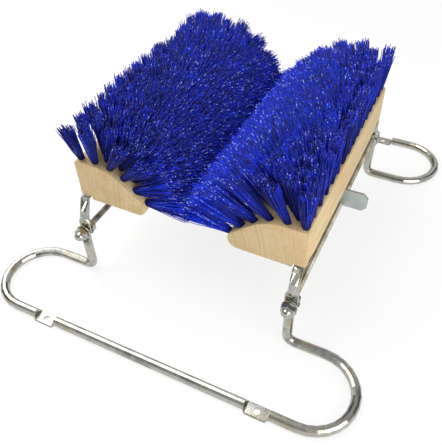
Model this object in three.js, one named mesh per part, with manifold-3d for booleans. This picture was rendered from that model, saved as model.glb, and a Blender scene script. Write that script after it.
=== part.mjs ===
// Boot brush: two bristled wooden blocks that swing on a pair of rods, carried by two bent tube feet.
// Lengths are in millimetres and angles in degrees. +Z is up, +Y runs the way a boot is drawn through,
// and the origin is on the floor under the middle.

import * as THREE from 'three';
import { mergeVertices } from 'three/addons/utils/BufferGeometryUtils.js';
import Module from 'manifold-3d';

const wasm = await Module();
wasm.setup();

// Fit
const gap = 0.3; // between pieces that touch
const overrun = 1; // how far a cutter passes the face that it opens

// Foot frames: each is one steel tube, bent and pressed flat at its two pads and its two leg ends
const tubeDiameter = 9.5;
const pressedThickness = 2.6;
const barReach = 81; // joint to the outer bar
const loopReach = 193.5; // middle of the brush to the far side of a loop
const legBendRadius = 9;
const padOffset = 117; // middle of the bar to a screw pad
const padLength = 20;
const padRamp = 2;
const padHoleDiameter = 7;

// Rods: the blocks swing on them
const rodDiameter = 6.35;
const rodOffset = 114; // middle of the brush to a rod
const rodHeight = 58.5;
const jointReach = 14; // end of the block to where a leg meets a link on the rod

// Pressed eyes, on the legs and the links
const eyeFlat = 8.4; // eye centre to where the tube starts to round out
const eyeRamp = 4.5;

// Rod fasteners
const washerDiameter = 15.6;
const washerThickness = 1.2;
const nutAcross = 12.7; // across flats, on both kinds of nut
const nutThickness = 5.4;
const chamferShare = 0.96; // of the width across flats, where a nut's face is turned flat
const domeHeight = 5.6; // above the hexagon of a dome nut
const domeDiameter = 11.2;
const domeBoreDepth = 8;

// Links: short tubes from the rods up to the blocks
const linkLean = 20;
const linkBendRadius = 6;
const linkCrookRadius = 3.4; // where a link turns in under the block
const troughRamp = 9; // from the round tube to the trough that is pressed into its front
const troughLength = 4; // from there to the crook
const lipsDownShare = 0.6; // of the crook's turn, by which the trough's lips are folded down
const fanLength = 4; // under the block, where the end widens to its eye
const linkScrewInset = 13; // end of the block to the link's screw

// Link screws
const screwDiameter = 4.2;
const screwLength = 20;
const screwHeadDiameter = 8.4;
const screwHeadHeight = 2.8;
const screwRimShare = 1 / 3; // of the head's height that is upright
const screwFlatShare = 0.6; // of the head's width that is flat

// Blocks
const blockLength = 254;
const blockHeight = 46;
const blockBottom = 92; // above the floor
const blockOuter = 119.5; // middle of the brush to a block's outer side
const crownStart = 21.5; // outer side to where the flat top starts to fall
const crownRadius = 48;
const crownSlope = 41;
const noseRadius = 10;
const topEdgeRadius = 3;
const bottomEdgeRadius = 2;
const recessDepth = 4.5; // of the seat that a link's end lies in
const recessFreeplay = 0.5; // on each side of a link's end

// Bristles
const sliceDepth = 3; // of the wood that the bristles' own solid takes in
const sliceWrap = 100; // how far round the nose that slice goes
const rimWidth = 1.5; // wood left beside the slice
const tuftLength = 50;
const tuftColumns = 11; // places round the face; every other place is filled
const columnSpacing = 8.05;
const firstColumn = 5.2; // outer side to the outermost column
const tuftRows = 31; // places along the block
const firstRow = 6.25; // end of the block to the first row
const tuftRootWidth = 6;
const tuftTipWidth = 13;
const outerTilt = 1; // from upright, toward the other block
const innerTilt = 77;
const endSplay = 16; // of the last rows, toward the ends
const meetingGap = 0.5; // tips to the middle plane

// Cross bar
const crossBarHeight = 22;
const crossBarThickness = 3;
const crossBarHalfLength = 142;
const crossBarPlace = 9; // behind the middle
const crossBarDrop = 1; // lower edge below the rods' axis
const crossBarClip = 5; // cut off each corner

// Facets
const ringSides = 12;
const holeSides = 16;
const loopSteps = 14;
const bendSteps = 5;
const slightBendSteps = 2;
const edgeSteps = 3;
const flatShare = Math.cos(Math.PI / ringSides);
const roundEndAngles = [75, 55, 30];

// Worked out from the sizes above
const rodRadius = rodDiameter / 2;
const boreRadius = rodRadius + gap;
const screwBoreRadius = screwDiameter / 2 + gap;
const eyeWidth = pressedWidth(pressedThickness);
const pressSink = (tubeDiameter - pressedThickness) / 2; // of a flat that is pressed down to one wall
const jointOffset = blockLength / 2 + jointReach; // middle of the brush to the joint
const barOffset = jointOffset + barReach;
const legOffset = jointOffset + (pressedThickness + gap) / 2;
const linkOffset = jointOffset - (pressedThickness + gap) / 2;
const loopRadius = (barOffset - legOffset) / 2;
const loopCentre = loopReach - loopRadius;
const blockTop = blockBottom + blockHeight;
const plateHeight = blockBottom + recessDepth - gap - pressedThickness / 2;
const screwPlace = blockLength / 2 - linkScrewInset;
const screwSeat = plateHeight - pressedThickness / 2 - gap;
const slope = THREE.MathUtils.degToRad(crownSlope);
const crownCentre = new THREE.Vector2(blockOuter - crownStart, blockTop - crownRadius);
const noseCentre = findNoseCentre();
const rowSpacing = (blockLength - 2 * firstRow) / (tuftRows - 1);
const noseStart = crownStart + crownRadius * slope + slopeLength();
const sliceEnd = noseStart + noseRadius * (THREE.MathUtils.degToRad(sliceWrap) - slope);

// Finishes
const zinc = () => new THREE.MeshStandardMaterial({ color: 0xc4c3b6, roughness: 0.32, metalness: 1 });
const steel = () => new THREE.MeshStandardMaterial({ color: 0x9ea0a0, roughness: 0.45, metalness: 1 });
const wood = () => new THREE.MeshStandardMaterial({ color: 0xdcbf8d, roughness: 0.6, metalness: 0 });
const plastic = () => new THREE.MeshStandardMaterial({ color: 0x1a26a8, roughness: 0.4, metalness: 0 });

// Solids and cuts

function solid(geometry) {
  const plain = geometry.clone();
  plain.deleteAttribute('normal');
  plain.deleteAttribute('uv');
  const merged = mergeVertices(plain);
  const vertProperties = new Float32Array(merged.attributes.position.array);
  const triVerts = new Uint32Array(merged.index.array);
  return new wasm.Manifold(new wasm.Mesh({ numProp: 3, vertProperties, triVerts }));
}

function geometryOf(body) {
  const mesh = body.getMesh();
  const geometry = new THREE.BufferGeometry();
  geometry.setAttribute('position', new THREE.BufferAttribute(mesh.vertProperties, 3));
  geometry.setIndex(new THREE.BufferAttribute(mesh.triVerts, 1));
  geometry.computeVertexNormals();
  return geometry;
}

// A round cutter or pin along Y
function pinAlongY(radius, from, to) {
  const geometry = new THREE.CylinderGeometry(radius, radius, to - from, holeSides);
  return geometry.translate(0, (from + to) / 2, 0);
}

// A round cutter along Z
function pinAlongZ(radius, from, to) {
  return pinAlongY(radius, from, to).rotateX(Math.PI / 2);
}

function toMesh(name, geometry, material) {
  const mesh = new THREE.Mesh(geometry, material);
  mesh.name = name;
  return mesh;
}

// Tubes that are bent and pressed

// A round tube keeps its perimeter when it is pressed, so it gets wider as it gets thinner.
function pressedWidth(thickness) {
  return thickness + (Math.PI / 2) * (tubeDiameter - thickness);
}

// One section of the tube, as places across it and up from its centreline. The press closes it along 'up' or
// along 'across', down to a thickness, and can sink it toward one wall.
function section(thickness = tubeDiameter, pressed = 'up', width = pressedWidth(thickness), sink = 0) {
  const half = thickness / 2;
  const spread = (width - thickness) / 2;
  const places = [];
  for (let i = 0; i < ringSides; i += 1) {
    const angle = ((i + 0.5) * 2 * Math.PI) / ringSides;
    const place = new THREE.Vector2(Math.cos(angle), Math.sin(angle)).multiplyScalar(half / flatShare);
    if (pressed === 'up') place.add(new THREE.Vector2(Math.sign(place.x) * spread, -sink));
    else place.add(new THREE.Vector2(-sink, Math.sign(place.y) * spread));
    places.push(place);
  }
  return places;
}

// The front wall is pushed in to lie on the rear one. The lips at its sides fold down as their share falls to 0.
function troughSection(lipShare) {
  const folded = section(pressedThickness, 'across', tubeDiameter, pressSink);
  const trough = section().map(({ x, y }) => new THREE.Vector2(Math.min(x, pressedThickness - x), y));
  return folded.map((place, i) => place.lerp(trough[i], lipShare));
}

// Walks along a tube's centreline and leaves a ring of points wherever the tube bends or changes section.
class TubeWalk {
  constructor(at, forward, up) {
    this.at = at.clone();
    this.forward = forward.clone();
    this.up = up.clone();
    this.rings = [];
  }

  go(length) {
    this.at.addScaledVector(this.forward, length);
    return this;
  }

  ring(places = section()) {
    const across = new THREE.Vector3().crossVectors(this.up, this.forward);
    this.rings.push(places.map((place) => {
      return this.at.clone().addScaledVector(across, place.x).addScaledVector(this.up, place.y);
    }));
    return this;
  }

  // A pad is pressed down to the floor side of the tube.
  padRing() {
    return this.ring(section(pressedThickness, 'up', eyeWidth, pressSink));
  }

  flatRing(width = eyeWidth, sink = 0) {
    return this.ring(section(pressedThickness, 'across', width, sink));
  }

  bend(radius, degrees, axis, steps, leaveRing) {
    const step = THREE.MathUtils.degToRad(degrees) / steps;
    const centre = new THREE.Vector3().crossVectors(axis, this.forward).multiplyScalar(radius).add(this.at);
    for (let i = 0; i < steps; i += 1) {
      this.at.sub(centre).applyAxisAngle(axis, step).add(centre);
      this.forward.applyAxisAngle(axis, step);
      this.up.applyAxisAngle(axis, step);
      leaveRing(this, (i + 1) / steps);
    }
    return this;
  }

  // The round end of an eye: the walk stands at the eye's centre before and after.
  roundEnd(side, sink = 0) {
    const radius = eyeWidth / 2;
    const angles = side < 0 ? roundEndAngles : [...roundEndAngles].reverse();
    for (const degrees of angles) {
      const angle = THREE.MathUtils.degToRad(degrees);
      const reach = side * radius * Math.sin(angle);
      this.go(reach).flatRing(eyeWidth * Math.cos(angle), sink).go(-reach);
    }
    return this;
  }
}

// Collects the corners and faces of one closed body. Faces turn anticlockwise as seen from outside.
class Body {
  constructor() {
    this.positions = [];
    this.triangles = [];
  }

  corner(point) {
    this.positions.push(...point.toArray());
    return this.positions.length / 3 - 1;
  }

  face(...corners) {
    for (let i = 1; i + 1 < corners.length; i += 1) {
      this.triangles.push(corners[0], corners[i], corners[i + 1]);
    }
  }

  // One four-sided face from each side of a loop of corners to the same side of another
  band(loop, next) {
    for (let i = 0; i < loop.length; i += 1) {
      const after = (i + 1) % loop.length;
      this.face(loop[i], loop[after], next[after], next[i]);
    }
  }

  geometry() {
    const geometry = new THREE.BufferGeometry();
    geometry.setAttribute('position', new THREE.Float32BufferAttribute(this.positions, 3));
    geometry.setIndex(this.triangles);
    geometry.computeVertexNormals();
    return geometry;
  }
}

// Skins a run of rings into one closed body.
function skin(rings) {
  const body = new Body();
  const loops = rings.map((ring) => ring.map((point) => body.corner(point)));
  for (let k = 0; k + 1 < loops.length; k += 1) body.band(loops[k], loops[k + 1]);
  body.face(...[...loops[0]].reverse());
  body.face(...loops[loops.length - 1]);
  return body.geometry();
}

// Foot frame, drawn for the front: from the middle of the bar round the right loop and up the leg

function footFrameGeometry() {
  const [x, y, z] = [new THREE.Vector3(1, 0, 0), new THREE.Vector3(0, 1, 0), new THREE.Vector3(0, 0, 1)];
  const roundRing = (walk) => walk.ring();
  const tubeHeight = tubeDiameter / 2;
  const walk = new TubeWalk(new THREE.Vector3(0, -barOffset, tubeHeight), x, z);
  walk.ring();
  walk.go(padOffset - padLength / 2 - padRamp).ring();
  walk.go(padRamp).padRing().go(padLength).padRing().go(padRamp).ring();
  walk.go(loopCentre - walk.at.x).ring();
  walk.bend(loopRadius, 180, z, loopSteps, roundRing);
  walk.go(loopCentre - rodOffset - legBendRadius).ring();
  walk.bend(legBendRadius, 90, y, bendSteps, roundRing);
  walk.go(rodHeight - eyeFlat - eyeRamp - walk.at.z).ring();
  walk.go(eyeRamp).flatRing().go(eyeFlat).flatRing().roundEnd(1);

  const mirrored = walk.rings.slice(1).reverse();
  const left = mirrored.map((ring) => ring.map((point) => new THREE.Vector3(-point.x, point.y, point.z)));
  let body = solid(skin([...left, ...walk.rings]));
  for (const side of [-1, 1]) {
    const eyeCut = pinAlongY(boreRadius, -legOffset - tubeDiameter, -jointOffset + overrun);
    body = body.subtract(solid(eyeCut.translate(side * rodOffset, 0, rodHeight)));
    const padCut = pinAlongZ(padHoleDiameter / 2, -overrun, tubeDiameter);
    body = body.subtract(solid(padCut.translate(side * padOffset, -barOffset, 0)));
  }
  return geometryOf(body);
}

// Link, drawn for the front at x = 0: eye on the rod, leaning tube, trough, crook, and an eye under the block

function linkGeometry() {
  const up = new THREE.Vector3(0, 0, 1);
  const side = new THREE.Vector3(1, 0, 0);
  const inward = new THREE.Vector3(-1, 0, 0);
  const lean = THREE.MathUtils.degToRad(linkLean);
  const crookRadius = linkCrookRadius + pressSink;
  const foldRing = (bending, turned) => bending.ring(troughSection(Math.max(0, 1 - turned / lipsDownShare)));
  const rise = plateHeight + pressSink - rodHeight - eyeFlat;
  const bends = linkBendRadius * Math.sin(lean) + crookRadius * (1 - Math.sin(lean));
  const straight = (rise - bends) / Math.cos(lean);
  const walk = new TubeWalk(new THREE.Vector3(0, -linkOffset, rodHeight), up, side);
  walk.roundEnd(-1).flatRing().go(eyeFlat).flatRing();
  walk.bend(linkBendRadius, linkLean, inward, slightBendSteps, (bending) => bending.flatRing());
  walk.go(eyeRamp).ring();
  walk.go(straight - eyeRamp - troughRamp - troughLength).ring();
  walk.go(troughRamp).ring(troughSection(1)).go(troughLength).ring(troughSection(1));
  walk.bend(crookRadius, 90 - linkLean, inward, bendSteps, foldRing);
  walk.go(fanLength).flatRing(eyeWidth, pressSink);
  walk.go(-screwPlace - walk.at.y).flatRing(eyeWidth, pressSink).roundEnd(1, pressSink);

  const eyeCut = pinAlongY(boreRadius, -jointOffset - overrun, -linkOffset + tubeDiameter);
  const screwHole = pinAlongZ(screwBoreRadius, plateHeight - tubeDiameter, plateHeight + tubeDiameter);
  let body = solid(skin(walk.rings));
  body = body.subtract(solid(eyeCut.translate(0, 0, rodHeight)));
  body = body.subtract(solid(screwHole.translate(0, -screwPlace, 0)));
  return geometryOf(body);
}

// Rod fasteners, drawn at the origin with the rod along Y and the outer end toward +Y

const outerWasherPlace = legOffset + pressedThickness / 2 + gap;
const domeNutPlace = outerWasherPlace + washerThickness + gap;
const innerWasherPlace = linkOffset - pressedThickness / 2 - gap - washerThickness;
const innerNutPlace = innerWasherPlace - gap - nutThickness;
const rodHalfLength = domeNutPlace + domeBoreDepth - gap;

function washerGeometry() {
  const profile = [
    new THREE.Vector2(boreRadius, 0),
    new THREE.Vector2(washerDiameter / 2, 0),
    new THREE.Vector2(washerDiameter / 2, washerThickness),
    new THREE.Vector2(boreRadius, washerThickness),
    new THREE.Vector2(boreRadius, 0),
  ];
  return geometryOf(solid(new THREE.LatheGeometry(profile, holeSides)));
}

// A hexagon whose corners are turned off to a cone at the ends that are asked for
function hexGeometry(height, chamferInner) {
  const cornerRadius = nutAcross / 2 / Math.cos(Math.PI / 6);
  const turned = (nutAcross / 2) * chamferShare;
  const outside = cornerRadius + overrun;
  const rise = (outside - turned) * Math.tan(Math.PI / 6);
  const profile = [
    new THREE.Vector2(0, 0),
    new THREE.Vector2(chamferInner ? turned : outside, 0),
    new THREE.Vector2(outside, chamferInner ? rise : height / 2),
    new THREE.Vector2(outside, height - rise),
    new THREE.Vector2(turned, height),
    new THREE.Vector2(0, height),
  ];
  const hexagon = new THREE.CylinderGeometry(cornerRadius, cornerRadius, height, 6);
  const cones = new THREE.LatheGeometry(profile, holeSides);
  return solid(hexagon.translate(0, height / 2, 0)).intersect(solid(cones));
}

function nutGeometry() {
  const bore = pinAlongY(boreRadius, -overrun, nutThickness + overrun);
  return geometryOf(hexGeometry(nutThickness, true).subtract(solid(bore)));
}

function domeNutGeometry() {
  const radius = domeDiameter / 2;
  const profile = [new THREE.Vector2(0, nutThickness / 2), new THREE.Vector2(radius, nutThickness / 2)];
  for (let i = 0; i < bendSteps; i += 1) {
    const angle = (i / bendSteps) * (Math.PI / 2);
    profile.push(new THREE.Vector2(radius * Math.cos(angle), nutThickness + domeHeight * Math.sin(angle)));
  }
  profile.push(new THREE.Vector2(0, nutThickness + domeHeight));
  const dome = solid(new THREE.LatheGeometry(profile, holeSides));
  const bore = pinAlongY(boreRadius, -overrun, domeBoreDepth);
  return geometryOf(hexGeometry(nutThickness, false).add(dome).subtract(solid(bore)));
}

// Link screw, drawn upright with the underside of its head at the origin
function screwGeometry() {
  const head = screwHeadDiameter / 2;
  const shank = screwDiameter / 2;
  const profile = [
    new THREE.Vector2(0, -screwHeadHeight),
    new THREE.Vector2(head * screwFlatShare, -screwHeadHeight),
    new THREE.Vector2(head, -screwHeadHeight * screwRimShare),
    new THREE.Vector2(head, 0),
    new THREE.Vector2(shank, 0),
    new THREE.Vector2(shank, screwLength - screwDiameter),
    new THREE.Vector2(0, screwLength),
  ];
  return geometryOf(solid(new THREE.LatheGeometry(profile, ringSides).rotateX(Math.PI / 2)));
}

// Block section, drawn in X and Z for the right-hand block

// The nose touches both the falling crown and the flat underside.
function findNoseCentre() {
  const slopeStart = pointOnArc(crownCentre, crownRadius, slope);
  const height = blockBottom + noseRadius;
  const fall = (height - slopeStart.y) * Math.cos(slope) + noseRadius;
  return new THREE.Vector2(slopeStart.x + fall / Math.sin(slope), height);
}

function slopeLength() {
  return pointOnArc(crownCentre, crownRadius, slope).distanceTo(pointOnArc(noseCentre, noseRadius, slope));
}

function pointOnArc(centre, radius, angle) {
  return new THREE.Vector2(centre.x - radius * Math.sin(angle), centre.y + radius * Math.cos(angle));
}

// A point of the bristled face: its distance along the face from the outer side, and its depth in the wood
function facePoint(distance, depth = 0) {
  const pastFlat = distance - crownStart;
  const pastArc = pastFlat - crownRadius * slope;
  const slopeStart = pointOnArc(crownCentre, crownRadius - depth, slope);
  if (pastFlat < 0) return new THREE.Vector2(blockOuter - distance, blockTop - depth);
  if (pastArc < 0) return pointOnArc(crownCentre, crownRadius - depth, pastFlat / crownRadius);
  if (distance > noseStart) {
    return pointOnArc(noseCentre, noseRadius - depth, slope + (distance - noseStart) / noseRadius);
  }
  return slopeStart.add(new THREE.Vector2(-Math.cos(slope), -Math.sin(slope)).multiplyScalar(pastArc));
}

function tuftDistance(column) {
  return firstColumn + column * columnSpacing;
}

// Distances along the bristled face where its flat facets meet: there is one facet under each column.
function facetEdges(from, to) {
  const edges = [from];
  for (let column = 1; column < tuftColumns; column += 1) edges.push(tuftDistance(column - 0.5));
  edges.push(tuftDistance(tuftColumns - 1) + tuftRootWidth / 2 + 2 * gap, to);
  return edges;
}

// Draws an X and Z outline through the length of the block.
function alongBlock(points) {
  const shape = new THREE.Shape(points);
  const geometry = new THREE.ExtrudeGeometry(shape, { depth: blockLength, bevelEnabled: false });
  return geometry.rotateX(Math.PI / 2).translate(0, blockLength / 2, 0);
}

// A quarter turn round an edge of the block, clockwise from an angle
function edgeArc(centre, radius, fromAngle) {
  const points = [];
  for (let i = 0; i <= edgeSteps; i += 1) {
    points.push(pointOnArc(centre, radius, fromAngle - (i / edgeSteps) * (Math.PI / 2)));
  }
  return points;
}

function blockGeometry() {
  const outline = [];
  const noseAngle = THREE.MathUtils.degToRad(sliceWrap) + gap / noseRadius;
  for (let i = 0; i <= bendSteps; i += 1) {
    outline.push(pointOnArc(noseCentre, noseRadius, Math.PI + ((noseAngle - Math.PI) * i) / bendSteps));
  }
  const seatEdges = facetEdges(rimWidth - gap, sliceEnd + gap).reverse();
  outline.push(...seatEdges.map((distance) => facePoint(distance, sliceDepth + gap)));
  const topCentre = new THREE.Vector2(blockOuter - topEdgeRadius, blockTop - topEdgeRadius);
  const bottomCentre = new THREE.Vector2(blockOuter - bottomEdgeRadius, blockBottom + bottomEdgeRadius);
  const rimInner = blockOuter - rimWidth + gap;
  const rimTop = Math.sqrt(topEdgeRadius ** 2 - (rimInner - topCentre.x) ** 2);
  outline.push(new THREE.Vector2(rimInner, topCentre.y + rimTop));
  outline.push(...edgeArc(topCentre, topEdgeRadius, 0).filter((point) => point.x > rimInner + gap));
  outline.push(...edgeArc(bottomCentre, bottomEdgeRadius, -Math.PI / 2));
  let body = solid(alongBlock(outline));

  const seatWidth = eyeWidth + 2 * recessFreeplay;
  const seatLength = linkScrewInset + eyeWidth / 2 + recessFreeplay;
  const seatMiddle = (blockLength - seatLength + overrun) / 2;
  for (const end of [-1, 1]) {
    const seat = new THREE.BoxGeometry(seatWidth, seatLength + overrun, recessDepth + overrun);
    seat.translate(rodOffset, end * seatMiddle, blockBottom + (recessDepth - overrun) / 2);
    const pilot = pinAlongZ(screwBoreRadius, blockBottom, screwSeat + screwLength);
    body = body.subtract(solid(seat)).subtract(solid(pilot.translate(rodOffset, end * screwPlace, 0)));
  }
  return geometryOf(body);
}

// Bristles: one flaring strand for each tuft, standing in a slice of the block's bristled face

function tuftPlace(row) {
  return (row - (tuftRows - 1) / 2) * rowSpacing;
}

// The root of a strand opens the cell of the face that it stands in; its tip ends short of the other brush.
function addStrand(body, cell, root, facet, column, row) {
  const tilt = THREE.MathUtils.degToRad(outerTilt + ((innerTilt - outerTilt) * column) / (tuftColumns - 1));
  const endShare = tuftPlace(row) / tuftPlace(tuftRows - 1);
  const splay = THREE.MathUtils.degToRad(endSplay) * endShare ** 3;
  const room = root.x - meetingGap - (tuftTipWidth / 2) * Math.cos(tilt);
  const length = tilt > 0 ? Math.min(tuftLength, room / Math.sin(tilt)) : tuftLength;
  const rise = new THREE.Vector2(-Math.sin(tilt), Math.cos(tilt)).multiplyScalar(length * Math.cos(splay));
  const tip = root.clone().add(rise);
  const tipFacet = new THREE.Vector2(-Math.cos(tilt), -Math.sin(tilt));

  const square = (middle, along, place, width) => [[-1, -1], [-1, 1], [1, 1], [1, -1]].map(([a, b]) => {
    const point = middle.clone().addScaledVector(along, (a * width) / 2);
    return body.corner(new THREE.Vector3(point.x, place + (b * width) / 2, point.y));
  });
  const rootCorners = square(root, facet, tuftPlace(row), tuftRootWidth);
  const tipCorners = square(tip, tipFacet, tuftPlace(row) + length * Math.sin(splay), tuftTipWidth);
  body.band(cell, rootCorners);
  body.band(rootCorners, tipCorners);
  body.face(...tipCorners);
}

function bristleGeometry() {
  const edges = facetEdges(rimWidth, sliceEnd);
  const places = [-blockLength / 2];
  for (let row = 0; row <= tuftRows; row += 1) places.push(tuftPlace(row - 0.5));
  places.push(blockLength / 2);

  const body = new Body();
  const corner = (point, place) => body.corner(new THREE.Vector3(point.x, place, point.y));
  const face = edges.map((distance) => places.map((place) => corner(facePoint(distance), place)));
  const back = edges.map((distance) => {
    return [-1, 1].map((end) => corner(facePoint(distance, sliceDepth), (end * blockLength) / 2));
  });

  const far = places.length - 1;
  for (let column = 0; column + 1 < edges.length; column += 1) {
    const [start, end] = [facePoint(edges[column]), facePoint(edges[column + 1])];
    const facet = end.clone().sub(start).normalize();
    const share = (tuftDistance(column) - edges[column]) / (edges[column + 1] - edges[column]);
    const root = start.clone().lerp(end, share);
    const [near, next] = [face[column], face[column + 1]];
    for (let i = 0; i < far; i += 1) {
      const row = i - 1;
      const cell = [near[i], near[i + 1], next[i + 1], next[i]];
      const isPlace = column < tuftColumns && row >= 0 && row < tuftRows;
      if (isPlace && (column + row) % 2 === 0) addStrand(body, cell, root, facet, column, row);
      else body.face(...cell);
    }
    body.face(back[column][0], back[column + 1][0], back[column + 1][1], back[column][1]);
    body.face(back[column][0], near[0], next[0], back[column + 1][0]);
    body.face(back[column][1], back[column + 1][1], next[far], near[far]);
  }
  const [rim, nose] = [0, edges.length - 1];
  body.face(back[rim][0], back[rim][1], ...[...face[rim]].reverse());
  body.face(back[nose][1], back[nose][0], ...face[nose]);
  return body.geometry();
}

// Cross bar: stands on edge, notched over both rods

function crossBarGeometry() {
  const low = rodHeight - crossBarDrop;
  const high = low + crossBarHeight;
  const end = crossBarHalfLength;
  const half = [new THREE.Vector2(rodOffset - boreRadius, low)];
  for (let i = 0; i <= holeSides / 2; i += 1) {
    const angle = Math.PI / 2 - (i / (holeSides / 2)) * Math.PI;
    half.push(pointOnArc(new THREE.Vector2(rodOffset, rodHeight), boreRadius, angle));
  }
  half.push(new THREE.Vector2(rodOffset + boreRadius, low));
  half.push(new THREE.Vector2(end - crossBarClip, low), new THREE.Vector2(end, low + crossBarClip));
  half.push(new THREE.Vector2(end, high - crossBarClip), new THREE.Vector2(end - crossBarClip, high));
  const mirrored = [...half].reverse().map((point) => new THREE.Vector2(-point.x, point.y));
  const shape = new THREE.Shape([...half, ...mirrored]);
  const geometry = new THREE.ExtrudeGeometry(shape, { depth: crossBarThickness, bevelEnabled: false });
  return geometry.rotateX(Math.PI / 2).translate(0, crossBarPlace + crossBarThickness / 2, 0);
}

// Assembly

const group = new THREE.Group();
const ends = [
  { name: 'front', sign: -1 },
  { name: 'rear', sign: 1 },
];
const sides = [
  { name: 'left', sign: -1 },
  { name: 'right', sign: 1 },
];

const shapes = {
  footFrame: footFrameGeometry(),
  rod: pinAlongY(rodRadius, -rodHalfLength, rodHalfLength),
  link: linkGeometry(),
  washer: washerGeometry(),
  nut: nutGeometry(),
  domeNut: domeNutGeometry(),
  screw: screwGeometry(),
  block: blockGeometry(),
  bristles: bristleGeometry(),
  crossBar: crossBarGeometry(),
};

for (const end of ends) {
  const frame = toMesh(`${end.name}_foot_frame`, shapes.footFrame, zinc());
  frame.rotation.z = end.sign > 0 ? Math.PI : 0;
  group.add(frame);
}

group.add(toMesh('cross_bar', shapes.crossBar, steel()));

for (const side of sides) {
  const turn = side.sign > 0 ? 0 : Math.PI;
  const block = toMesh(`${side.name}_block`, shapes.block, wood());
  const bristles = toMesh(`${side.name}_bristles`, shapes.bristles, plastic());
  block.rotation.z = turn;
  bristles.rotation.z = turn;
  const rod = toMesh(`${side.name}_rod`, shapes.rod, zinc());
  rod.position.set(side.sign * rodOffset, 0, rodHeight);
  group.add(block, bristles, rod);

  for (const end of ends) {
    const corner = `${end.name}_${side.name}`;
    const link = toMesh(`${corner}_link`, shapes.link, zinc());
    link.rotation.z = end.sign > 0 ? Math.PI : 0;
    link.position.x = side.sign * rodOffset;
    const screw = toMesh(`${corner}_link_screw`, shapes.screw, zinc());
    screw.position.set(side.sign * rodOffset, end.sign * screwPlace, screwSeat);
    group.add(link, screw);

    const onRod = (name, shape, place) => {
      const mesh = toMesh(`${corner}_${name}`, shape, zinc());
      mesh.rotation.z = end.sign > 0 ? 0 : Math.PI;
      mesh.position.set(side.sign * rodOffset, end.sign * place, rodHeight);
      group.add(mesh);
    };
    onRod('outer_washer', shapes.washer, outerWasherPlace);
    onRod('dome_nut', shapes.domeNut, domeNutPlace);
    onRod('inner_washer', shapes.washer, innerWasherPlace);
    onRod('inner_nut', shapes.nut, innerNutPlace);
  }
}

export default group;
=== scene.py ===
# Boot brush: whole wooden blocks, tufts of blue filaments, metal and wood finishes, light and camera
import math

import bmesh
import bpy
import numpy as np
from mathutils import Matrix, Quaternion, Vector


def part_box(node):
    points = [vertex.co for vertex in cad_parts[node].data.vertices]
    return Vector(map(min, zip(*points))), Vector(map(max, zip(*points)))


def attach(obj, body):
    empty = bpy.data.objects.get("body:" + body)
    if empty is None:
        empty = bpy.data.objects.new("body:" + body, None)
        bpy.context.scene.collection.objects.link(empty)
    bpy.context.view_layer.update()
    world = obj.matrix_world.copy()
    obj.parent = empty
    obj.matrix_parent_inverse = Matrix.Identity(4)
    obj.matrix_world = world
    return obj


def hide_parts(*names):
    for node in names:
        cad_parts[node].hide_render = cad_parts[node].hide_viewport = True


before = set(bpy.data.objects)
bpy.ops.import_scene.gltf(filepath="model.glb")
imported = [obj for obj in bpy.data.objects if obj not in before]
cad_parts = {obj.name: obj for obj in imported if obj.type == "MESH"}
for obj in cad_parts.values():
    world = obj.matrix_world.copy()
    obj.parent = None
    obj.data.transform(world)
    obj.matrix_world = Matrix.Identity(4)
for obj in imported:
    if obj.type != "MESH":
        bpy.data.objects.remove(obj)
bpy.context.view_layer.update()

MM = 0.001

# Camera, fitted to the photograph
IMAGE_LONG_SIDE = 445  # pixels
FOCAL_LENGTH = 546.3  # pixels
SENSOR_WIDTH = 36  # millimetres, as the camera has it
CAMERA_PLACE = Vector((198.6, -436.5, 459.7)) * MM
CAMERA_AZIMUTH = math.radians(27.38)
CAMERA_DROP = math.radians(44.34)
CAMERA_ROLL = math.radians(-1.86)
CAMERA_CLIP = 10 * MM

# Light
LAMPS = {  # place, size and power
    "key": (Vector((-500, -50, 1000)) * MM, 950 * MM, 11.5),
    "fill": (Vector((800, -500, 450)) * MM, 700 * MM, 5.9),
    "rim": (Vector((200, 900, 800)) * MM, 700 * MM, 1.0),
}
LAMP_TARGET = Vector((0, 0, 100)) * MM
WORLD_LEVEL = 0.85
ROOM_LEVELS = (  # height, from the horizon up, and brightness
    (0.0, 0.9),
    (0.2, 0.8),
    (0.32, 0.1),
    (0.5, 0.1),
    (0.7, 0.5),
    (1.0, 0.5),
)
FLOOR_SIZE = 24000 * MM
PAGE_SHARE = 0.8  # of the floor's own shade that plain white takes the place of

# Block section, the same as in the solids
BLOCK_LOW, BLOCK_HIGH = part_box("right_block")
BLOCK_OUTER = BLOCK_HIGH.x
BLOCK_BOTTOM = BLOCK_LOW.z
BLOCK_LENGTH = BLOCK_HIGH.y - BLOCK_LOW.y
BLOCK_HEIGHT = 46 * MM
BLOCK_TOP = BLOCK_BOTTOM + BLOCK_HEIGHT
CROWN_START = 21.5 * MM
CROWN_RADIUS = 48 * MM
CROWN_SLOPE = math.radians(41)
NOSE_RADIUS = 10 * MM
TOP_EDGE_RADIUS = 3 * MM
BOTTOM_EDGE_RADIUS = 2 * MM
END_BEVEL = 0.7 * MM
ARC_STEP = math.radians(5)
WOOD_SHARP_ANGLE = math.radians(32)  # an edge this steep stays sharp
METAL_SHARP_ANGLE = math.radians(34)

# Seats that the links lie in
SEAT_DEPTH = 4.5 * MM
SEAT_PLAY = 0.5 * MM
SEAT_INSET = 13 * MM

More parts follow.
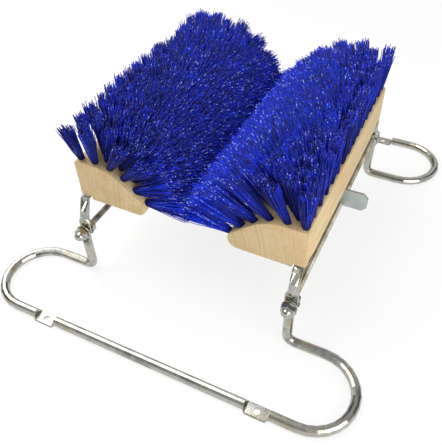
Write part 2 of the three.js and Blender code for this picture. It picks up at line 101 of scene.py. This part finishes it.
# Tufts, at the places of those in the solids. They lean as those do, but for the scatter and the shares
TUFT_COLUMNS = 11
COLUMN_SPACING = 8.05 * MM
FIRST_COLUMN = 5.2 * MM
TUFT_ROWS = 31
FIRST_ROW = 6.25 * MM
ROW_SPACING = (BLOCK_LENGTH - 2 * FIRST_ROW) / (TUFT_ROWS - 1)
TUFT_LENGTH = 50 * MM
OUTER_TRIM_SHARE = 0.11  # of that length, missing in the outermost tufts
TUFT_DEPTH = 2 * MM
OUTER_TILT = math.radians(1)
INNER_TILT = math.radians(77)
OUTER_SPLAY = math.radians(15)  # of the last rows, in the outer tufts
INNER_SPLAY = math.radians(1)
REAR_SPLAY_SHARE = 0.5  # of that splay, at the right brush's rear end
TILT_SCATTER = math.radians(2.2)
INNER_CALM_SHARE = 0.7  # of that scatter, missing in the innermost tufts

# Filaments
FILAMENTS = 84  # in a tuft
INNER_EXTRA_SHARE = 0.9  # of those, added in the innermost tufts
FILAMENT_RADIUS = 0.4 * MM
FILAMENT_SIDES = 3  # so that each of its ends is one triangle
FILAMENT_SHARES = (0, 0.35, 0.7, 1)  # of a filament's length, where it has a ring of points
ROOT_SPREAD = 2.9 * MM
EDGE_SPREAD = 6.2 * MM  # of the tips, at the edges of a brush
MIDDLE_SPREAD = 8.2 * MM
INNER_SPREAD_ACROSS = 16.0 * MM
DEEPEST_SPREAD = 14.5 * MM  # downward, where the innermost tufts meet
INNER_SPREAD_ALONG = 9.0 * MM
END_SPREAD_ALONG = 5.2 * MM
EDGE_COLUMNS = 2
EDGE_ROWS = 2
STRAY_SHARE = 0.12  # of the spread, by which filaments stand further out on average
MOST_STRAY = 1.4  # times the spread
TIP_SCATTER = 0.9 * MM
WAVE = 0.4 * MM
LENGTH_SCATTER = 0.03
MOST_CROSSING = 3.0 * MM  # of a tip over the middle, in among the other brush's
LEAST_CROSSING = -1.5 * MM
BUNDLES = 2  # pieces that share the tufts of a side
SEEDS = {"left": 7, "right": 41}
GOLDEN_ANGLE = math.pi * (3 - math.sqrt(5))
ALONG = np.array([0, 1.0, 0])
HALF_ROUND = np.array([-1, -1, 1])  # turns points of the right-hand side to the left

# Colours of the filaments, which each have one strip of a map. They hold painted shade, painted glints
# and painted highlights
COLOUR_STRIPS = 96
STRIP_MARGIN = 0.1  # of a strip's width, kept free on either side
CALM_SHARE = 0.875  # of the strips; the filaments of the others sparkle, painted brighter toward the tip and with many more painted glints
LIGHTEST_SHARE = 0.99  # of the calm strips, where their lightest filaments lie
SIDE_SHARE = 0.97  # of the map's height, for a filament's sides; its cut end has the rest
# The left brush's darker filaments and the inner tufts' lighter ones are painted shade and painted light
SHADES = {  # powers on a random share, outside and inside: high is dark
    "left": (2.6, 0.5),
    "right": (2.0, 0.15),
}
TUFT_SHADE_SCATTER = 0.08
SPARKLING_SHARE = 0.04  # of the filaments, in the outer tufts, that sparkle with painted glints and painted brightness
INNER_SPARKLING_SHARE = 0.16  # more of them in the innermost tufts
FOOT_SPARKLING_SHARES = {"left": 0.02, "right": 0.3}  # and more again at the ends of those, far more on the right: painted light at the foot of the valley
SHADE_STRETCHES = 15  # of a filament's length, each lighter or darker than the next, as if crimped
GLINT_STRETCHES = 34  # of its length, each of which may carry a painted glint
SHADE_STEP = 0.213  # between the numbers that two neighbouring stretches are drawn from
GLINT_STEP = 0.137
GLINT_LEVEL = 0.985  # a stretch is painted with a glint where its draw is above this
SPARKLING_GLINT_SHARE = 0.22  # added to the draws of a sparkling filament, for more painted glints
SPARKLING_TIP_GLINT_SHARE = 0.3  # and added again at its tip
PALE_SHARE = 0.05  # how far a painted glint turns pale, at the root
TIP_PALE_SHARE = 0.4  # added toward the tip
SPARKLING_PALE_SHARE = 0.45  # and added again toward a sparkling tip
SPARKLING_BRIGHT_SHARE = 0.5  # how far a sparkling filament is painted brighter toward its tip, as painted light
SOFT_STEP = 0.005  # over which one colour gives way to the next
SEAM_SHARE = 0.002  # of the map's height, over which the sides' colour gives way to the cut end's


# Shader values

def srgb(red, green, blue):
    """A colour written as it looks, in 0 to 255, in the renderer's own linear numbers."""
    shares = [channel / 255 for channel in (red, green, blue)]
    return tuple(s / 12.92 if s <= 0.04045 else ((s + 0.055) / 1.055) ** 2.4 for s in shares) + (1,)


class Value:
    """One output of a shader node. Sums and products of values add Math nodes."""

    def __init__(self, shading, socket):
        self.shading = shading
        self.socket = socket

    def _math(self, operation, first, second):
        return self.shading.node("Math", {"operation": operation}, {0: first, 1: second})

    def __add__(self, other):
        return self._math("ADD", self, other)

    __radd__ = __add__

    def __mul__(self, other):
        return self._math("MULTIPLY", self, other)

    __rmul__ = __mul__


def set_stops(ramp, stops):
    """Gives a colour ramp its stops: a position and a colour for each."""
    while len(ramp.elements) < len(stops):
        ramp.elements.new(1)
    for element, (position, colour) in zip(ramp.elements, stops):
        element.position = position
        element.color = colour


class Shading:
    """The nodes of a material, or of the world, in the making."""

    def __init__(self, tree):
        self.nodes = tree.nodes
        self.links = tree.links

    def feed(self, socket, value):
        """Links a value to a socket, or sets a plain number or colour on it."""
        if isinstance(value, Value):
            self.links.new(value.socket, socket)
        else:
            socket.default_value = value

    def node(self, kind, settings=None, inputs=None, output=0):
        """One output of a new node, whose settings are made before its sockets are fed."""
        made = self.nodes.new("ShaderNode" + kind)
        for name, value in (settings or {}).items():
            if name == "stops":
                set_stops(made.color_ramp, value)
            else:
                setattr(made, name, value)
        for name, value in (inputs or {}).items():
            self.feed(made.inputs[name], value)
        return Value(self, made.outputs[output])

    def place(self):
        """Where a point of the surface lies, in metres."""
        return self.node("TexCoord", output="Object")

    def stretched(self, place, scale):
        """The place scaled along X, Y and Z. A noise on it is drawn out where the scale is low."""
        return self.node("Mapping", {"vector_type": "POINT"}, {"Vector": place, "Scale": scale})

    def noise(self, place, scale=1.0, detail=3.0):
        inputs = {"Vector": place, "Scale": scale, "Detail": detail, "Roughness": 0.55}
        return self.node("TexNoise", inputs=inputs)

    def ramp(self, share, stops):
        """The colour that a share has among the stops."""
        return self.node("ValToRGB", {"stops": stops}, {0: share})

    def blend(self, share, first, second):
        """The first colour where the share is 0, the second where it is 1, and a mix between."""
        settings = {"data_type": "RGBA", "blend_type": "MIX"}
        return self.node("Mix", settings, {0: share, 6: first, 7: second}, output=2)

    def spread(self, share, low, high):
        """A share from 0 to 1 drawn out between two numbers."""
        inputs = {"Value": share, "To Min": low, "To Max": high}
        return self.node("MapRange", inputs=inputs)

    def between(self, value, start, end):
        """How far a value has gone from start to end, from 0 to 1."""
        inputs = {"Value": value, "From Min": start, "From Max": end}
        return self.node("MapRange", inputs=inputs)

    def rounded(self, value):
        """The whole number below a value."""
        return self.node("Math", {"operation": "FLOOR"}, {0: value})

    def chance(self, value):
        """A share from 0 to 1 drawn anew for each value."""
        return self.node("TexWhiteNoise", {"noise_dimensions": "1D"}, {"W": value})

    def axis(self, place, letter):
        """One coordinate of a place."""
        return self.node("SeparateXYZ", inputs={0: place}, output=letter)


class Finish(Shading):
    """A material in the making. Its constants are set on the shader itself."""

    def __init__(self, name, **constants):
        self.material = bpy.data.materials.new(name)
        self.material.use_nodes = True
        super().__init__(self.material.node_tree)
        self.shader = self.nodes["Principled BSDF"]
        for socket, constant in constants.items():
            self.shader.inputs[socket.replace("_", " ")].default_value = constant

    def wear(self, colour, roughness, bump=None, bump_depth=None):
        """Feeds what changes over the surface to the shader, and gives the finished material."""
        self.feed(self.shader.inputs["Base Color"], colour)
        self.feed(self.shader.inputs["Roughness"], roughness)
        if bump is not None:
            inputs = {"Height": bump, "Distance": bump_depth, "Strength": 1.0}
            self.feed(self.shader.inputs["Normal"], self.node("Bump", inputs=inputs))
        return self.material


# Finishes

def zinc_finish():
    """Bright zinc plate: silver with faint straw-coloured clouds, duller in small patches."""
    finish = Finish("bright_zinc", Metallic=1.0)
    place = finish.place()
    cloud = finish.noise(place, scale=55.0, detail=4.0)
    speck = finish.noise(place, scale=620.0, detail=2.0)
    colour = finish.ramp(cloud, [
        (0.3, srgb(136, 136, 130)),
        (0.5, srgb(184, 184, 178)),
        (0.72, srgb(166, 158, 130)),
    ])
    roughness = finish.spread(cloud * 0.6 + speck * 0.4, low=0.1, high=0.34)
    return finish.wear(colour, roughness, bump=speck, bump_depth=0.04 * MM)


def rod_finish(dark, light):
    """Zinc over a rolled thread, dull and brownish in the colours given. The turns show as fine streaks.
    """
    finish = Finish("threaded_zinc", Metallic=1.0)
    place = finish.place()
    bands = {"bands_direction": "Y", "wave_profile": "SIN"}
    inputs = {"Vector": place, "Scale": 250.0, "Distortion": 0.2}
    turn = finish.node("TexWave", bands, inputs, output="Fac")
    cloud = finish.noise(place, scale=60.0)
    colour = finish.blend(finish.between(cloud, start=0.35, end=0.65), dark, light)
    roughness = finish.spread(cloud, low=0.2, high=0.45)
    return finish.wear(colour, roughness, bump=turn, bump_depth=0.35 * MM)


def steel_finish():
    """Satin steel, with faint streaks along the bar from rolling."""
    finish = Finish("flat_bar_steel", Metallic=1.0)
    place = finish.place()
    cloud = finish.noise(place, scale=45.0, detail=4.0)
    rolled = finish.noise(finish.stretched(place, (12.0, 300.0, 300.0)))
    colour = finish.ramp(cloud, [(0.3, srgb(172, 180, 178)), (0.7, srgb(200, 206, 204))])
    roughness = finish.spread(rolled, low=0.4, high=0.6)
    return finish.wear(colour, roughness, bump=rolled, bump_depth=0.06 * MM)


def wood_finish():
    """Pale hardwood with its grain along Y, so the growth rings show as faint arcs on the ends."""
    finish = Finish("blond_hardwood", Specular_IOR_Level=0.3)
    place = finish.place()
    sway = finish.noise(finish.stretched(place, (14.0, 3.0, 14.0)), detail=2.0)
    across = finish.axis(place, "X")
    upward = finish.axis(place, "Z")
    arched = upward * 60.0 + across * across * 2200.0
    rings = finish.node("TexNoise", {"noise_dimensions": "1D"}, {
        "W": arched + sway * 5.0,
        "Scale": 1.6,
        "Detail": 3.0,
        "Roughness": 0.6,
    })
    mottle = finish.noise(finish.stretched(place, (60.0, 18.0, 60.0)))
    fibre = finish.noise(finish.stretched(place, (900.0, 26.0, 900.0)), detail=2.0)
    pore = finish.noise(finish.stretched(place, (1500.0, 90.0, 1500.0)), detail=1.0)
    base = finish.ramp(rings, [
        (0.3, srgb(196, 171, 123)),
        (0.45, srgb(212, 190, 146)),
        (0.6, srgb(217, 198, 157)),
        (0.75, srgb(201, 177, 131)),
    ])
    clouds = finish.between(mottle, start=0.42, end=0.72) * 0.7
    streaks = finish.between(fibre, start=0.45, end=0.8) * 0.7
    pores = finish.between(pore, start=0.6, end=0.8) * 0.7
    clouded = finish.blend(clouds, base, srgb(209, 170, 120))
    streaked = finish.blend(streaks, clouded, srgb(179, 151, 107))
    colour = finish.blend(pores, streaked, srgb(170, 140, 96))
    roughness = finish.spread(fibre, low=0.5, high=0.72)
    return finish.wear(colour, roughness, bump=fibre, bump_depth=0.12 * MM)


def filament_finish():
    """Blue filament with small pale painted glints and painted shade toward the root. The map's strips go
    from dark to light, and then to sparkling ones.
    """
    finish = Finish("blue_filament", Specular_IOR_Level=0.06)
    strand = finish.node("UVMap", {"uv_map": "strand"})
    strip = finish.rounded(finish.axis(strand, "X") * COLOUR_STRIPS)
    upward = finish.axis(strand, "Y")
    along = upward * (1 / SIDE_SHARE)
    shade = strip * (1 / COLOUR_STRIPS)
    glint = finish.chance(strip + finish.rounded(along * GLINT_STRETCHES) * GLINT_STEP)
    crimp = finish.chance(strip + finish.rounded(along * SHADE_STRETCHES) * SHADE_STEP)
    # Both ramps darken toward the root: painted shade deep in the tuft
    dark = finish.ramp(along, [
        (0.0, srgb(13, 14, 54)),
        (0.3, srgb(38, 43, 110)),
        (0.6, srgb(40, 44, 110)),
    ])
    light = finish.ramp(along, [
        (0.0, srgb(20, 34, 124)),
        (0.3, srgb(37, 64, 228)),
        (0.6, srgb(38, 67, 248)),
    ])
    calm = finish.blend(shade * finish.spread(crimp, low=0.4, high=1.6), dark, light)

    # Sparkling strips are painted brighter toward the tip, as painted light
    sparkling = finish.between(shade, CALM_SHARE - SOFT_STEP, CALM_SHARE)
    brighter = finish.blend(sparkling * along * SPARKLING_BRIGHT_SHARE, calm, srgb(44, 68, 230))

    # Painted glints: pale specks along the filaments, more on sparkling strips and toward their tips
    near_tip = finish.between(along, start=0.9, end=0.94)
    draw = glint + sparkling * (near_tip * SPARKLING_TIP_GLINT_SHARE + SPARKLING_GLINT_SHARE)
    glinting = finish.between(draw, GLINT_LEVEL, GLINT_LEVEL + SOFT_STEP)
    paleness = along * TIP_PALE_SHARE + sparkling * along * SPARKLING_PALE_SHARE + PALE_SHARE
    speckled = finish.blend(glinting * paleness, brighter, srgb(178, 194, 255))

    # A painted highlight: the cut ends of some filaments turn pale blue
    cut_end = finish.between(upward, SIDE_SHARE + SEAM_SHARE, SIDE_SHARE + 2 * SEAM_SHARE)
    lit = cut_end * finish.between(glint, start=0.5, end=0.9)
    colour = finish.blend(lit, speckled, srgb(134, 150, 255))
    return finish.wear(colour, finish.spread(shade, low=0.35, high=0.5))


# Shapes

def point_on_arc(centre, radius, angle):
    """A point of the block's section, by its angle from straight up toward the middle of the brush."""
    return centre + Vector((-math.sin(angle), math.cos(angle))) * radius


def nose_centre():
    """The centre of the rounded inner edge, which the slope and the underside both run into."""
    slope_start = point_on_arc(CROWN_CENTRE, CROWN_RADIUS, CROWN_SLOPE)
    height = BLOCK_BOTTOM + NOSE_RADIUS
    fall = (height - slope_start.y) * math.cos(CROWN_SLOPE) + NOSE_RADIUS
    return Vector((slope_start.x + fall / math.sin(CROWN_SLOPE), height))


CROWN_CENTRE = Vector((BLOCK_OUTER - CROWN_START, BLOCK_TOP - CROWN_RADIUS))
NOSE_CENTRE = nose_centre()
SLOPE_START = point_on_arc(CROWN_CENTRE, CROWN_RADIUS, CROWN_SLOPE)
SLOPE_END = point_on_arc(NOSE_CENTRE, NOSE_RADIUS, CROWN_SLOPE)
SLOPE_AT = CROWN_START + CROWN_RADIUS * CROWN_SLOPE
NOSE_AT = SLOPE_AT + (SLOPE_END - SLOPE_START).length


def face_point(distance):
    """A point of the bristled face in X and Z, by its distance along the face from the outer side."""
    if distance < CROWN_START:
        return Vector((BLOCK_OUTER - distance, BLOCK_TOP))
    if distance < SLOPE_AT:
        return point_on_arc(CROWN_CENTRE, CROWN_RADIUS, (distance - CROWN_START) / CROWN_RADIUS)
    if distance < NOSE_AT:
        return SLOPE_START.lerp(SLOPE_END, (distance - SLOPE_AT) / (NOSE_AT - SLOPE_AT))
    return point_on_arc(NOSE_CENTRE, NOSE_RADIUS, CROWN_SLOPE + (distance - NOSE_AT) / NOSE_RADIUS)


def arc(centre, radius, start, end):
    """Points along an arc, close enough together for it to look round."""
    steps = max(2, round(abs(end - start) / ARC_STEP))
    return [point_on_arc(centre, radius, start + (end - start) * i / steps) for i in range(steps + 1)]


def block_outline():
    """The block's section, from its lower outer edge up over the crown to its rounded inner edge."""
    top = Vector((BLOCK_OUTER - TOP_EDGE_RADIUS, BLOCK_TOP - TOP_EDGE_RADIUS))
    bottom = Vector((BLOCK_OUTER - BOTTOM_EDGE_RADIUS, BLOCK_BOTTOM + BOTTOM_EDGE_RADIUS))
    quarter = math.pi / 2
    return [
        *arc(bottom, BOTTOM_EDGE_RADIUS, -2 * quarter, -quarter),
        *arc(top, TOP_EDGE_RADIUS, -quarter, 0),
        *arc(CROWN_CENTRE, CROWN_RADIUS, 0, CROWN_SLOPE),
        *arc(NOSE_CENTRE, NOSE_RADIUS, CROWN_SLOPE, math.pi),
    ]


def turned_for(side):
    """The right-hand block as it is, or turned half round for the left."""
    return Matrix.Rotation(0 if side == "right" else math.pi, 4, "Z")


def add_piece(name, mesh, material):
    """Puts a mesh into the scene with its material."""
    piece = bpy.data.objects.new(name, mesh)
    bpy.context.scene.collection.objects.link(piece)
    mesh.materials.append(material)
    return piece


def cut_by(piece, cutter):
    """Cuts one piece out of another and throws the cutter away."""
    cut = piece.modifiers.new("cut", "BOOLEAN")
    cut.operation = "DIFFERENCE"
    cut.solver = "EXACT"
    cut.object = cutter
    graph = bpy.context.evaluated_depsgraph_get()
    piece.data = bpy.data.meshes.new_from_object(piece.evaluated_get(graph))
    piece.modifiers.clear()
    bpy.data.objects.remove(cutter)


def seat_cutter(side, end):
    """A box that cuts a link's seat into the underside of a block, open at the block's end."""
    low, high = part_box(f"{end}_{side}_link")
    width = high.x - low.x + 2 * SEAT_PLAY
    mid_x = (low.x + high.x) / 2
    inner = BLOCK_LENGTH / 2 - SEAT_INSET - width / 2
    sign = -1 if end == "front" else 1
    corners = bmesh.new()
    bmesh.ops.create_cube(corners, size=1)
    reach = BLOCK_LENGTH / 2 - inner + END_BEVEL
    size = Matrix.Diagonal((width, reach, 2 * SEAT_DEPTH, 1))
    place = Matrix.Translation((mid_x, sign * (inner + reach / 2), BLOCK_BOTTOM))
    bmesh.ops.transform(corners, matrix=place @ size, verts=corners.verts)
    mesh = bpy.data.meshes.new("seat")
    corners.to_mesh(mesh)
    corners.free()
    seat = bpy.data.objects.new("seat", mesh)
    bpy.context.scene.collection.objects.link(seat)
    return seat


def block_piece(side, material):
    """A whole block: its section drawn out along Y, with eased ends and a seat for each link."""
    shape = bmesh.new()
    outline = [shape.verts.new((point.x, -BLOCK_LENGTH / 2, point.y)) for point in block_outline()]
    face = shape.faces.new(outline)
    grown = bmesh.ops.extrude_face_region(shape, geom=[face])
    far = [item for item in grown["geom"] if isinstance(item, bmesh.types.BMVert)]
    bmesh.ops.translate(shape, vec=(0, BLOCK_LENGTH, 0), verts=far)
    bmesh.ops.recalc_face_normals(shape, faces=shape.faces)
    ends = [face for face in shape.faces if len(face.verts) > 4]
    rims = list({edge for face in ends for edge in face.edges})
    bmesh.ops.bevel(shape, geom=rims, offset=END_BEVEL, segments=2, profile=0.5, affect="EDGES")
    bmesh.ops.transform(shape, matrix=turned_for(side), verts=shape.verts)
    mesh = bpy.data.meshes.new(f"{side}_wood_block")
    shape.to_mesh(mesh)
    shape.free()
    piece = add_piece(f"{side}_wood_block", mesh, material)
    for end in ("front", "rear"):
        cut_by(piece, seat_cutter(side, end))
    piece.data.shade_smooth()
    piece.data.set_sharp_from_angle(angle=WOOD_SHARP_ANGLE)
    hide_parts(f"{side}_block")
    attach(piece, f"{side}_brush")


def inward(column):
    """From 0 in the outermost column to 1 in the innermost."""
    return column / (TUFT_COLUMNS - 1)


def endward(row):
    """From -1 in the first row to 1 in the last."""
    return 2 * row / (TUFT_ROWS - 1) - 1


def tuft_places(bundle):
    """The column and row of each tuft in a bundle. The tufts fill every other place of the grid."""
    for column in range(TUFT_COLUMNS):
        for row in range(column % 2, TUFT_ROWS, 2):
            if (row // 2) % BUNDLES == bundle:
                yield column, row


def tuft_axes(chance, side, column, row):
    """The way that a tuft points, and the way across it."""
    inner = inward(column) ** 3
    tilt = OUTER_TILT + (INNER_TILT - OUTER_TILT) * inward(column)
    splay = (OUTER_SPLAY + (INNER_SPLAY - OUTER_SPLAY) * inner) * endward(row) ** 3
    if side == "right" and endward(row) > 0:
        splay *= REAR_SPLAY_SHARE
    scatter = TILT_SCATTER * (1 - INNER_CALM_SHARE * inner)
    tilt += chance.normal(0, scatter)
    splay += chance.normal(0, scatter)
    rise = np.array([-math.sin(tilt), 0, math.cos(tilt)])
    across = np.array([math.cos(tilt), 0, math.sin(tilt)])
    return rise * math.cos(splay) + ALONG * math.sin(splay), across


def tip_spreads(column, row):
    """How far a tuft's tips stand out, across the brush and along it."""
    from_end = min(row, TUFT_ROWS - 1 - row)
    edge = column < EDGE_COLUMNS or from_end < EDGE_ROWS
    outer = EDGE_SPREAD if edge else MIDDLE_SPREAD
    inner_along = END_SPREAD_ALONG if from_end < EDGE_ROWS else INNER_SPREAD_ALONG
    inner = inward(column) ** 3
    return [outer + (spread - outer) * inner for spread in (INNER_SPREAD_ACROSS, inner_along)]


def fanned_lines(chance, column, row, start, axis, across):
    """A tuft's filaments, each a row of points, close together at the root and fanned out at the tips."""
    shares = np.array(FILAMENT_SHARES)
    filaments = round(FILAMENTS * (1 + INNER_EXTRA_SHARE * inward(column) ** 3))
    count = np.arange(filaments)
    reach = np.sqrt((count + 0.5) / filaments)
    angle = count * GOLDEN_ANGLE + chance.uniform(0, 2 * math.pi)
    trimmed = 1 - OUTER_TRIM_SHARE * (1 - inward(column)) ** 3
    length = TUFT_LENGTH * (trimmed + chance.normal(0, LENGTH_SCATTER, filaments)) + TUFT_DEPTH
    stray = np.minimum(1 + chance.exponential(STRAY_SHARE, filaments), MOST_STRAY)
    line = start + axis * (length[:, None] * shares)[:, :, None]
    ways = ((across, np.cos(angle)), (ALONG, np.sin(angle)))
    for (way, turned), spread in zip(ways, tip_spreads(column, row)):
        near = reach * turned * ROOT_SPREAD
        far = reach * turned * spread * stray + chance.normal(0, TIP_SCATTER, filaments)
        far = np.maximum(far, -DEEPEST_SPREAD)
        wave = chance.normal(0, WAVE, (filaments, len(shares))) * (shares > 0)
        offset = near[:, None] + (far - near)[:, None] * shares + wave
        line = line + way * offset[:, :, None]
    return line


def held_at_middle(chance, line, start):
    """The same filaments, the longest shortened so that their tips end in among the other brush's."""
    room = start[0] + chance.uniform(LEAST_CROSSING, MOST_CROSSING, len(line))
    kept = np.minimum(room / np.maximum(start[0] - line[:, -1, 0], room), 1)
    return start + (line - start) * kept[:, None, None]


def colour_strips(chance, side, column, row, filaments):
    """The strip of the map for each filament of a tuft."""
    # Painted light and shade: the inner tufts get lighter filaments and the left brush darker ones, by
    # the powers in SHADES
    outer_shade, inner_shade = SHADES[side]
    shade = outer_shade + (inner_shade - outer_shade) * inward(column) ** 2
    lightness = chance.random(filaments) ** shade + chance.normal(0, TUFT_SHADE_SCATTER)
    lightness = CALM_SHARE * np.clip(lightness, 0, LIGHTEST_SHARE)
    inner = inward(column) ** 3
    foot = inner * endward(row) ** 6
    # Sparkling filaments carry painted glints and painted brightness, more in the inner tufts and at the
    # ends of the valley
    sparkling_share = SPARKLING_SHARE + INNER_SPARKLING_SHARE * inner + FOOT_SPARKLING_SHARES[side] * foot
    sparkling = chance.random(filaments) < sparkling_share
    sparkling_lightness = CALM_SHARE + (1 - CALM_SHARE) * chance.random(filaments)
    return np.floor(COLOUR_STRIPS * np.where(sparkling, sparkling_lightness, lightness))


def tuft(chance, side, column, row):
    """One tuft, as on the right-hand side: its filaments, the way across it, and their strips."""
    root = face_point(FIRST_COLUMN + column * COLUMN_SPACING)
    axis, across = tuft_axes(chance, side, column, row)
    place = (row - (TUFT_ROWS - 1) / 2) * ROW_SPACING
    start = np.array([root.x, place, root.y]) - axis * TUFT_DEPTH
    line = held_at_middle(chance, fanned_lines(chance, column, row, start, axis, across), start)
    return line, across, colour_strips(chance, side, column, row, len(line))


def filament_points(chance, line, across):
    """The corners of a tuft's filaments: one ring of them at each point of a line."""
    corners = np.arange(FILAMENT_SIDES) * 2 * math.pi / FILAMENT_SIDES
    turn = chance.uniform(0, 2 * math.pi, len(line))[:, None] + corners
    ring = np.cos(turn)[:, :, None] * across + np.sin(turn)[:, :, None] * ALONG
    return line[:, :, None, :] + ring[:, None, :, :] * FILAMENT_RADIUS


def filament_faces():
    """A filament's faces, its sides before its two ends, and where their corners lie on its strip."""
    sides, side_spots = [], []
    for ring in range(len(FILAMENT_SHARES) - 1):
        near, far = ring * FILAMENT_SIDES, (ring + 1) * FILAMENT_SIDES
        low, high = FILAMENT_SHARES[ring] * SIDE_SHARE, FILAMENT_SHARES[ring + 1] * SIDE_SHARE
        for corner in range(FILAMENT_SIDES):
            after = (corner + 1) % FILAMENT_SIDES
            sides.append([near + after, near + corner, far + corner, far + after])
            side_spots.append([(1, low), (0, low), (0, high), (1, high)])
    last = (len(FILAMENT_SHARES) - 1) * FILAMENT_SIDES
    ends = [[0, 1, 2], [last + 2, last + 1, last]]
    middle = (1 + SIDE_SHARE) / 2
    end_spots = [[(0, 0), (1, 0), (0.5, 1 - middle)], [(0, middle), (1, middle), (0.5, 1)]]
    return (np.array(sides), np.array(side_spots)), (np.array(ends), np.array(end_spots))


def filament_mesh(name, points, strips):
    """One mesh of all the filaments, with the same map twice, once for the finish and once for baking."""
    count = len(points)
    first = (np.arange(count) * len(FILAMENT_SHARES) * FILAMENT_SIDES)[:, None, None]
    loops, sizes, spots = [], [], []
    for faces, pattern in filament_faces():
        loops.append((first + faces).reshape(-1))
        sizes.append(np.full(count * len(faces), faces.shape[1]))
        placed = np.broadcast_to(pattern, (count, *pattern.shape)).copy()
        within = STRIP_MARGIN + (1 - 2 * STRIP_MARGIN) * placed[..., 0]
        placed[..., 0] = (strips[:, None, None] + within) / COLOUR_STRIPS
        spots.append(placed.reshape(-1))
    loops, sizes, spots = (np.concatenate(parts) for parts in (loops, sizes, spots))

    mesh = bpy.data.meshes.new(name)
    mesh.vertices.add(points.size // 3)
    mesh.vertices.foreach_set("co", points.reshape(-1).astype(np.float32))
    mesh.loops.add(len(loops))
    mesh.loops.foreach_set("vertex_index", loops.astype(np.int32))
    mesh.polygons.add(len(sizes))
    mesh.polygons.foreach_set("loop_start", (np.cumsum(sizes) - sizes).astype(np.int32))
    mesh.update(calc_edges=True)
    for layer in ("strand", "OFBake"):
        mesh.uv_layers.new(name=layer).data.foreach_set("uv", spots.astype(np.float32))
    mesh.shade_smooth()
    return mesh


def filament_piece(side, bundle, material):
    """One bundle of a brush's tufts. Together the bundles take the place of its solid bristles."""
    chance = np.random.default_rng(SEEDS[side] + bundle)
    tufts = [tuft(chance, side, column, row) for column, row in tuft_places(bundle)]
    points = np.concatenate([filament_points(chance, line, across) for line, across, _ in tufts])
    if side == "left":
        points = points * HALF_ROUND
    strips = np.concatenate([strips for _, _, strips in tufts])
    name = f"{side}_filaments_{bundle + 1}"
    piece = add_piece(name, filament_mesh(name, points, strips), material)
    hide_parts(f"{side}_bristles")
    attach(piece, f"{side}_brush")


# Stage

def add_floor():
    """A white floor. The camera sees its shadow partly lifted, as on a page, and so do reflections."""
    bpy.ops.mesh.primitive_plane_add(size=FLOOR_SIZE)
    floor = bpy.context.object
    floor.name = "floor"
    finish = Finish("pale_floor", Roughness=0.9, Specular_IOR_Level=0.1)
    finish.shader.inputs["Base Color"].default_value = srgb(250, 250, 250)
    page = finish.node("Emission", inputs={"Color": (1, 1, 1, 1), "Strength": 1.0})
    by_camera = finish.node("LightPath", output="Is Camera Ray")
    in_metal = finish.node("LightPath", output="Is Glossy Ray")
    in_glass = finish.node("LightPath", output="Is Transmission Ray")
    share = (by_camera + in_metal + in_glass) * PAGE_SHARE
    surface = Value(finish, finish.shader.outputs[0])
    mixed = finish.node("MixShader", inputs={0: share, 1: surface, 2: page})
    finish.feed(finish.nodes["Material Output"].inputs["Surface"], mixed)
    floor.data.materials.append(finish.material)


def add_lamp(name, place, size, power):
    """A soft square lamp that points at the middle of the brush."""
    lamp = bpy.data.lights.new(name, "AREA")
    lamp.size = size
    lamp.energy = power
    holder = bpy.data.objects.new(name, lamp)
    holder.location = place
    holder.rotation_mode = "QUATERNION"
    holder.rotation_quaternion = (LAMP_TARGET - place).to_track_quat("-Z", "Y")
    bpy.context.scene.collection.objects.link(holder)


def add_world():
    """A pale studio room. A dark band above the horizon gives the metal its dark streaks."""
    world = bpy.data.worlds.new("studio")
    world.use_nodes = True
    bpy.context.scene.world = world
    room = Shading(world.node_tree)
    background = room.nodes["Background"]
    background.inputs["Strength"].default_value = WORLD_LEVEL
    height = room.axis(room.node("TexCoord", output="Generated"), "Z")
    stops = [(position, (level, level, level, 1)) for position, level in ROOM_LEVELS]
    room.feed(background.inputs["Color"], room.ramp(height, stops))


def add_camera():
    """A camera where the photograph's stood, with the same view and the same slight roll."""
    data = bpy.data.cameras.new("camera")
    data.sensor_width = SENSOR_WIDTH
    data.lens = FOCAL_LENGTH * SENSOR_WIDTH / IMAGE_LONG_SIDE
    data.clip_start = CAMERA_CLIP
    camera = bpy.data.objects.new("camera", data)
    level, drop = CAMERA_AZIMUTH, CAMERA_DROP
    back = Vector((
        math.sin(level) * math.cos(drop),
        -math.cos(level) * math.cos(drop),
        math.sin(drop),
    ))
    camera.location = CAMERA_PLACE
    camera.rotation_mode = "QUATERNION"
    camera.rotation_quaternion = Quaternion(back, CAMERA_ROLL) @ (-back).to_track_quat("-Z", "Y")
    bpy.context.scene.collection.objects.link(camera)
    bpy.context.scene.camera = camera


bpy.context.scene.view_settings.view_transform = "Standard"
add_camera()
add_world()
add_floor()
for name, (place, size, power) in LAMPS.items():
    add_lamp(name, place, size, power)

zinc = zinc_finish()
finishes = {
    "cross_bar": steel_finish(),
    # The left rod's darker, browner colours are painted shade and a painted reflection of the wood above
    # it
    "left_rod": rod_finish(srgb(82, 77, 68), srgb(164, 157, 146)),
    "right_rod": rod_finish(srgb(150, 142, 116), srgb(206, 200, 182)),
}
for name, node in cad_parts.items():
    for slot in node.material_slots:
        slot.material = finishes.get(name, zinc)
    node.data.shade_smooth()
    node.data.set_sharp_from_angle(angle=METAL_SHARP_ANGLE)

wood = wood_finish()
filament = filament_finish()
for side in ("left", "right"):
    block_piece(side, wood)
    for bundle in range(BUNDLES):
        filament_piece(side, bundle, filament)
